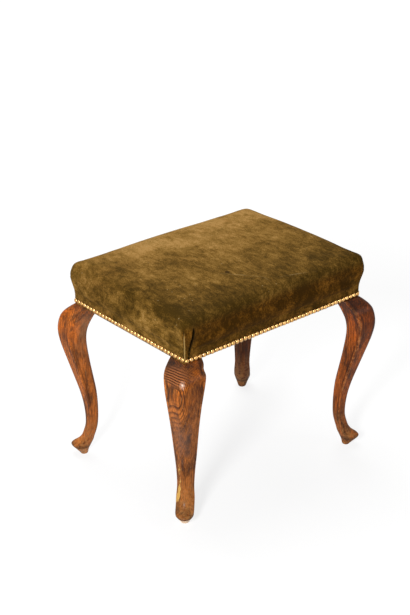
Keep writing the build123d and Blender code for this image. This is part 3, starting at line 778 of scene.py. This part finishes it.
# Each pleat is the spare suede of one side, folded round the corner and laid on the next side.
# Its free edge stands off, over a gap that opens upwards.
PLEATS = {(-1, -1): 1.0, (1, -1): 0.8, (1, 1): 0.9, (-1, 1): 0.22}
PLEAT_FOOT = 0.385
PLEAT_RUN = 0.070
LAP_WIDTH = 0.0130
LAP_SPREAD = 0.0075
LAP_RISE = 0.0014
GAP_WIDTH = 0.0060
GAP_SPREAD = 0.0040
GAP_DEPTH = 0.0068
GROOVE_PLACE = 0.0044
GROOVE_HALF_WIDTH = 0.0015
GROOVE_DEPTH = 0.0014


def pleat_place(point, corner):
    sx, sy = corner
    if sx == sy:
        return (SEAT_HALF.x + SEAT_SWELL) - sx * point.x, sy * point.y - SEAT_HALF.y, Vector((0, sy, 0))
    return (SEAT_HALF.y + SEAT_SWELL) - sy * point.y, sx * point.x - SEAT_HALF.x, Vector((sx, 0, 0))


for times in range(2):
    near = set()
    for corner in PLEATS:
        for edge in seat_form.edges:
            middle = (edge.verts[0].co + edge.verts[1].co) / 2
            across, depth, outwards = pleat_place(middle, corner)
            if -0.004 < across < 0.040 - 0.006 * times and depth > -0.014 and middle.z < 0.470:
                near.add(edge)
    bmesh.ops.subdivide_edges(seat_form, edges=list(near), cuts=1, use_grid_fill=True)
crease_shade = seat_form.verts.layers.float.new("crease_shade")
rubbed = seat_form.verts.layers.float.new("rubbed")
for corner, amount in PLEATS.items():
    for point in seat_form.verts:
        across, depth, outwards = pleat_place(point.co, corner)
        up = (point.co.z - PLEAT_FOOT) / PLEAT_RUN
        if not (-0.004 < across < 0.05 and depth > -0.012 and -0.1 < up < 1.15):
            continue
        grown = seat_bulge(point.co.z)
        from_edge = across - (SEAT_SWELL - grown)
        behind = grown - depth
        risen = portion(up, 1)
        edge = LAP_WIDTH + LAP_SPREAD * risen
        gape = GAP_WIDTH + GAP_SPREAD * min(1.0, risen * 1.3)
        fade = 1 - portion(up - 0.84, 0.18) ** 2
        fade *= portion(up + 0.05, 0.10) * amount
        if behind > 0.003:
            # The fold's own edge is drawn tight, with a fine groove beside it on the other face.
            groove = max(0.0, 1 - abs(behind - GROOVE_PLACE) / GROOVE_HALF_WIDTH)
            side = Vector((corner[0], corner[1], 0)) - outwards
            point.co -= side * GROOVE_DEPTH * groove * fade
            # The groove is darkened in colour as well: painted shade.
            point[crease_shade] = max(point[crease_shade], 0.8 * groove * fade)
            continue
        if across < edge:
            lap = portion(from_edge - 0.002, edge - (SEAT_SWELL - grown) - 0.002)
            shift = LAP_RISE * lap**1.3
            point[rubbed] = max(point[rubbed], max(0.0, 1 - abs(from_edge - 0.0008) / 0.0016) * fade)
            dark = 0.0
        else:
            past = (across - edge) / gape
            fall = min(1.0, past / 0.60)
            climb = portion(past - 0.60, 0.26)
            shift = (LAP_RISE - GAP_DEPTH * fall) * (1 - eased(climb))
            # The gap is darkened in colour: painted shade.
            dark = min(1.0, past / 0.10) * portion(1.02 - past, 0.18)
        point.co += outwards * shift * fade
        point[crease_shade] = max(point[crease_shade], dark * fade)
# At the far left corner the suede was pulled in small gathers to the nails instead.
# Each has its place along the side and its lean.
GATHERS = ((0.180, 0.30), (0.174, 0.42), (0.166, 0.50), (0.157, 0.58))
GATHER_TOP = 0.428
GATHER_HALF_WIDTH = 0.0017
GATHER_DEPTH = 0.0011
for point in seat_form.verts:
    if point.co.x > -SEAT_HALF.x + 0.003 or point.co.y < 0.14 or point.co.z > GATHER_TOP:
        continue
    for start, lean in GATHERS:
        off = abs(point.co.y - (start - lean * (0.420 - point.co.z)))
        dip = max(0.0, 1 - off / GATHER_HALF_WIDTH) * portion(GATHER_TOP - point.co.z, 0.020)
        point.co.x += GATHER_DEPTH * dip
        # Each gather is darkened in colour: painted shade.
        point[crease_shade] = max(point[crease_shade], 0.45 * dip)
for face in seat_form.faces:
    face.smooth = True
# The cut edge shows the hide's thickness, and the seat is closed inside, above the hessian.
HIDE_THICKNESS = 0.0018
INSIDE_LEVEL = 0.4216
rim = [edge for edge in seat_form.edges if edge.is_boundary]
hem = bmesh.ops.extrude_edge_only(seat_form, edges=rim)["geom"]
for point in only(bmesh.types.BMVert, hem):
    for axis in (0, 1):
        out = abs(point.co[axis])
        if out > SEAT_HALF[axis] - 0.02:
            out = min(out, SEAT_HALF[axis] - HIDE_THICKNESS)
            point.co[axis] = math.copysign(out, point.co[axis])
inside = bmesh.ops.extrude_edge_only(seat_form, edges=only(bmesh.types.BMEdge, hem))["geom"]
for point in only(bmesh.types.BMVert, inside):
    point.co.z = INSIDE_LEVEL
bmesh.ops.contextual_create(seat_form, geom=only(bmesh.types.BMEdge, inside))
bmesh.ops.recalc_face_normals(seat_form, faces=seat_form.faces)
seat_form.to_mesh(seat.data)
seat_form.free()

# The suede has painted light on top and painted shade on its long front side, is darker towards the near
# corner, and has a dark spot on top and a few faint scratches.
# Each scratch has its centre, its half length and its turn.
SPOT_PLACE = (-0.048, -0.082, 0.480)
SCRATCH_HALF_WIDTH = 0.0010
SCRATCHES = (
    ((-0.0318, -0.1142, 0.480), 0.058, -0.853),
    ((0.0640, -0.1715, 0.480), 0.064, -0.200),
    ((-0.0047, -0.1551, 0.480), 0.014, -1.548),
)


def worn_suede():
    made, tree, shader = finish_of("worn_suede")
    hide = object_place(tree)
    along, across, height = put(tree, "ShaderNodeSeparateXYZ", {0: hide}).outputs
    broad = clouds(tree, hide, 8.0, 3.0, 0.6, 0.3)
    patchy = clouds(tree, hide, 26.0, 6.0, 0.70, 0.6)
    brushed = clouds(tree, stretched(tree, hide, (1.0, 0.40, 0.8)), 105.0, 5.0, 0.72, 0.6)
    nap = clouds(tree, hide, 380.0, 4.0, 0.75)
    tone = product(tree, sums(tree, "SUBTRACT", broad, 0.5), 0.40)
    for layer, weight in ((patchy, 0.42), (brushed, 0.52), (nap, 0.60)):
        tone = sums(tree, "ADD", tone, product(tree, sums(tree, "SUBTRACT", layer, 0.5), weight))
    tone = sums(tree, "ADD", tone, 0.49)
    # The top is painted browner and paler than the sides, most of all towards the back, and darker at the
    # front: painted light from above and behind.
    upper = between(tree, height, 0.452, 0.478)
    toward = sums(tree, "ADD", product(tree, along, 0.08), across)
    painted_top_light = product(tree, upper, between(tree, toward, -0.19, 0.19, -0.06, 0.19))
    tone = sums(tree, "ADD", tone, painted_top_light)
    # Darker towards the near rim and the corner that faces the room, and at the left end of the top.
    nearness = product(tree, sums(tree, "ADD", along, across), -1.0)
    near_corner_dark = product(tree, between(tree, nearness, 0.20, 0.42), between(tree, height, 0.43, 0.462))
    tone = sums(tree, "SUBTRACT", tone, product(tree, near_corner_dark, 0.08))
    ends = product(tree, between(tree, along, -0.13, -0.24), upper)
    tone = sums(tree, "SUBTRACT", tone, product(tree, ends, 0.10))
    # The sides, handled less evenly, are the blotchier.
    lower = between(tree, height, 0.470, 0.446)
    blotch = product(tree, sums(tree, "SUBTRACT", patchy, 0.5), lower)
    tone = sums(tree, "ADD", tone, product(tree, blotch, 0.36))
    tone = sums(tree, "ADD", tone, product(tree, lower, 0.025))
    # On the long front side the nap lies downwards, and its taking the light less is painted in as shade:
    # darker here and warmer further on.
    front = product(tree, between(tree, across, -0.180, -0.189), between(tree, height, 0.466, 0.448))
    tone = sums(tree, "SUBTRACT", tone, product(tree, front, 0.105))
    colour = ramp(
        tree,
        tone,
        (0.34, (0.036, 0.019, 0.0020)),
        (0.45, (0.082, 0.042, 0.0062)),
        (0.54, (0.140, 0.073, 0.0130)),
        (0.62, (0.205, 0.111, 0.0245)),
        (0.74, (0.320, 0.186, 0.0580)),
    )
    # The front side's painted shade is warmer as well.
    colour = tint(tree, front, colour, (0.90, 0.70, 0.40, 1), "MULTIPLY")
    russet = product(tree, between(tree, toward, -0.05, 0.2), between(tree, patchy, 0.40, 0.62))
    colour = tint(tree, product(tree, russet, 0.30), colour, (0.27, 0.125, 0.030, 1))
    # The folds are darkened inside: painted shade.
    fold = put(tree, "ShaderNodeAttribute", attribute_name="crease_shade").outputs["Fac"]
    colour = tint(tree, product(tree, fold, 0.94, clamp=True), colour, (0.006, 0.004, 0.001, 1))
    # Pale flecks, one dark spot and a few faint scratches mark the hide.
    cells = put(tree, "ShaderNodeTexVoronoi", {"Vector": hide, "Scale": 55.0, "Randomness": 1.0})
    flecks = between(tree, cells.outputs["Distance"], 0.085, 0.05)
    flecks = product(tree, flecks, between(tree, broad, 0.52, 0.56))
    colour = tint(tree, product(tree, flecks, 0.6), colour, (0.34, 0.25, 0.12, 1))
    far = length_of(tree, stretched(tree, offset_from(tree, hide, SPOT_PLACE), (1, 1, 0.1)))
    colour = tint(tree, between(tree, far, 0.0066, 0.0036, 0.0, 0.9), colour, (0.028, 0.014, 0.003, 1))
    for centre, half_length, turn in SCRATCHES:
        away = offset_from(tree, hide, centre)
        away = put(tree, "ShaderNodeMapping", {"Vector": away, "Rotation": (0, 0, -turn)}).outputs[0]
        away = stretched(tree, away, (1 / half_length, 1 / SCRATCH_HALF_WIDTH, 0))
        scratch = between(tree, length_of(tree, away), 1.0, 0.5)
        scratch = product(tree, scratch, between(tree, patchy, 0.42, 0.58))
        colour = tint(tree, product(tree, scratch, 0.55), colour, (0.36, 0.26, 0.12, 1))
    # The edges of the pleats are rubbed pale.
    worn = put(tree, "ShaderNodeAttribute", attribute_name="rubbed").outputs["Fac"]
    colour = tint(tree, product(tree, worn, 0.60, clamp=True), colour, (0.36, 0.24, 0.085, 1))
    feed(tree, shader, {"Base Color": colour, "Roughness": 0.95, "Specular IOR Level": 0.03})
    sheen = (0.80, 0.60, 0.32, 1)
    feed(tree, shader, {"Sheen Weight": 0.02, "Sheen Roughness": 0.5, "Sheen Tint": sheen})
    roughen(tree, shader, sums(tree, "ADD", nap, product(tree, brushed, 1.2)), 0.0006, 0.6)
    return made


seat.data.materials.append(worn_suede())
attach(seat, "root")
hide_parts("stuffing", "wadding", "cover")

# Nails: domed brass upholstery nails in close rows through the hem of the cover.
# Each was driven by hand, so no two stand quite alike.
QUARTER = math.pi / 2


def facing(place, *turns):
    stand = Matrix.Translation(place)
    for angle, axis in turns:
        stand = stand @ Matrix.Rotation(angle, 4, axis)
    return stand


NAIL_ROWS = {
    "front": (45, 0.488, facing((0, -0.185, 0.383), (QUARTER, "X"))),
    "back": (45, 0.488, facing((0, 0.185, 0.383), (-QUARTER, "X"))),
    "left": (34, 0.358, facing((-0.250, 0, 0.3852), (QUARTER, "Z"), (-QUARTER, "X"))),
    "right": (34, 0.358, facing((0.250, 0, 0.3852), (QUARTER, "Z"), (QUARTER, "X"))),
}
DOME_RADIUS = 0.00525
DOME_FLATNESS = 0.74
brass, brass_tree, brass_shader = finish_of("aged_brass")
tarnish = clouds(brass_tree, object_place(brass_tree), 140.0, 3.0, 0.6)
brass_colour = ramp(brass_tree, tarnish, (0.35, (0.46, 0.245, 0.075)), (0.62, (0.76, 0.455, 0.175)))
dull = between(brass_tree, tarnish, 0.0, 1.0, 0.42, 0.24)
feed(brass_tree, brass_shader, {"Base Color": brass_colour, "Metallic": 1.0, "Roughness": dull})
hand = random.Random(7)
for side, (count, run, stand) in NAIL_ROWS.items():
    row = bmesh.new()
    for at in range(count):
        dome = bmesh.ops.create_uvsphere(row, u_segments=12, v_segments=8, radius=DOME_RADIUS)["verts"]
        low = [point for point in dome if point.co.z < -0.0005]
        bmesh.ops.delete(row, geom=low, context="VERTS")
        dome = [point for point in dome if point.is_valid]
        bmesh.ops.scale(row, vec=(1, 1, DOME_FLATNESS + hand.uniform(-0.04, 0.04)), verts=dome)
        tilt = Matrix.Rotation(hand.uniform(-0.07, 0.07), 4, "X")
        tilt = tilt @ Matrix.Rotation(hand.uniform(-0.07, 0.07), 4, "Y")
        along = (at / (count - 1) - 0.5) * run + hand.uniform(-0.0003, 0.0003)
        shift = Vector((along, hand.uniform(-0.0005, 0.0005), 0))
        bmesh.ops.transform(row, matrix=stand @ Matrix.Translation(shift) @ tilt, verts=dome)
    rims = [edge for edge in row.edges if edge.is_boundary]
    bmesh.ops.holes_fill(row, edges=rims, sides=0)
    bmesh.ops.recalc_face_normals(row, faces=row.faces)
    for face in row.faces:
        face.smooth = len(face.verts) < 6
    nails = shape("brass_nails_" + side, row)
    nails.data.materials.append(brass)
    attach(nails, "root")
    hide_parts("nails_" + side)

# Bottom cloth: black cotton, cut out round the legs and tacked up under the rails to keep dust in.
# It hangs a little slack between its tacks.
NOTCH_PLACE = (0.201, 0.136)
CLOTH_LEVEL = 0.3777
CLOTH_SAG = 0.0035
dust_form = bmesh.new()
bmesh.ops.create_grid(dust_form, x_segments=88, y_segments=64, size=0.5)
bmesh.ops.scale(dust_form, vec=(0.484, 0.354, 1), verts=dust_form.verts)
for axis, cut in enumerate(NOTCH_PLACE):
    for side in (-1, 1):
        way = Vector((0, 0, 0))
        way[axis] = side
        cut_through(dust_form, way * cut, way)
notches = []
for face in dust_form.faces:
    middle = face.calc_center_median()
    if abs(middle.x) > NOTCH_PLACE[0] and abs(middle.y) > NOTCH_PLACE[1]:
        notches.append(face)
bmesh.ops.delete(dust_form, geom=notches, context="FACES")
for point in dust_form.verts:
    slack = max(0.0, 1 - (point.co.x / 0.226) ** 2) * max(0.0, 1 - (point.co.y / 0.161) ** 2)
    ripple = 0.0004 * noise.noise(point.co * 22) * min(1.0, slack * 4)
    point.co.z = CLOTH_LEVEL - CLOTH_SAG * slack**0.7 + ripple
dust_cloth = shape("black_bottom_cloth", dust_form)
thicken(dust_cloth, 0.0005)
for face in dust_cloth.data.polygons:
    face.use_smooth = True
black, black_tree, black_shader = finish_of("black_cloth")
black_place = object_place(black_tree)
weave = threads(black_tree, black_place, 260.0, "MULTIPLY")
lint = clouds(black_tree, black_place, 45.0, 4.0, 0.65)
black_colour = ramp(black_tree, weave, (0.0, (0.012, 0.012, 0.013)), (1.0, (0.045, 0.044, 0.044)))
dusty = between(black_tree, lint, 0.5, 0.8, 0.0, 0.35)
black_colour = tint(black_tree, dusty, black_colour, (0.10, 0.095, 0.085, 1))
feed(black_tree, black_shader, {"Base Color": black_colour, "Roughness": 0.95})
roughen(black_tree, black_shader, weave, 0.0003)
dust_cloth.data.materials.append(black)
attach(dust_cloth, "root")
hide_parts("bottom_cloth")
dress("cloth_tacks", blued)


# The setting: a white floor and white air, which keep only faint shadows of the stool.
# A small lamp lights it from the left, a broad one from above and behind, and a weak one fills the right.
def seen_by_eye(tree):
    path = put(tree, "ShaderNodeLightPath")
    mirrored = sums(tree, "MAXIMUM", path.outputs["Is Glossy Ray"], path.outputs["Is Transmission Ray"])
    return sums(tree, "MAXIMUM", path.outputs["Is Camera Ray"], mirrored)


floor_form = bmesh.new()
bmesh.ops.create_grid(floor_form, x_segments=1, y_segments=1, size=9.0)
floor = shape("studio_floor", floor_form)
white, white_tree, white_shader = finish_of("studio_white")
# To the eye it is lit from within, more so far off, which leaves only a trace of each shadow.
seen = seen_by_eye(white_tree)
paint = between(white_tree, seen, 0.0, 1.0, 0.82, 0.20)
far = length_of(white_tree, object_place(white_tree))
glow = product(white_tree, seen, between(white_tree, far, 1.0, 2.2, 0.80, 1.0))
feed(white_tree, white_shader, {"Base Color": paint, "Roughness": 0.9, "Specular IOR Level": 0.0})
feed(white_tree, white_shader, {"Emission Color": (1, 1, 1, 1), "Emission Strength": glow})
floor.data.materials.append(white)

world = bpy.data.worlds.new("studio_air")
bpy.context.scene.world = world
world.use_nodes = True
air = world.node_tree
level = between(air, seen_by_eye(air), 0.0, 1.0, 0.15, 1.0)
feed(air, air.nodes["Background"], {"Color": (1, 1, 1, 1), "Strength": level})


def soft_light(name, place, aim, size, power):
    lamp = bpy.data.lights.new(name, "AREA")
    lamp.shape = "DISK"
    lamp.size = size
    lamp.energy = power
    stand = bpy.data.objects.new(name, lamp)
    bpy.context.collection.objects.link(stand)
    stand.location = place
    stand.rotation_euler = (Vector(aim) - Vector(place)).to_track_quat("-Z", "Y").to_euler()


soft_light("key", (-2.05, -1.24, 1.40), (0, 0, 0.30), 0.5, 74)
soft_light("overhead", (0.30, 0.80, 2.00), (0, 0, 0.40), 1.8, 38)
soft_light("side_fill", (1.6, -2.0, 1.2), (0, 0, 0.30), 1.2, 6)

# The camera stands where the picture was taken from: a long lens that looks down on the seat.
# Its axes follow from the azimuth, the elevation and a slight tilt of the view.
AZIMUTH = math.radians(-41.06)
ELEVATION = math.radians(25.65)
TILT = math.radians(0.50)
eye = Vector((-1.701, -1.910, 1.585))
back = Vector(
    (
        math.sin(AZIMUTH) * math.cos(ELEVATION),
        -math.cos(AZIMUTH) * math.cos(ELEVATION),
        math.sin(ELEVATION),
    )
)
level_right = (-back).cross(Vector((0, 0, 1))).normalized()
level_up = level_right.cross(-back)
right = math.cos(TILT) * level_right + math.sin(TILT) * level_up
up = math.cos(TILT) * level_up - math.sin(TILT) * level_right
lens = bpy.data.cameras.new("camera")
lens.lens = 75.92
lens.sensor_width = 36.0
lens.sensor_fit = "AUTO"
lens.clip_end = 60.0
camera = bpy.data.objects.new("camera", lens)
bpy.context.collection.objects.link(camera)
camera.matrix_world = Matrix(
    (
        (right.x, up.x, back.x, eye.x),
        (right.y, up.y, back.y, eye.y),
        (right.z, up.z, back.z, eye.z),
        (0, 0, 0, 1),
    )
)
bpy.context.scene.camera = camera
bpy.context.scene.view_settings.view_transform = "Standard"
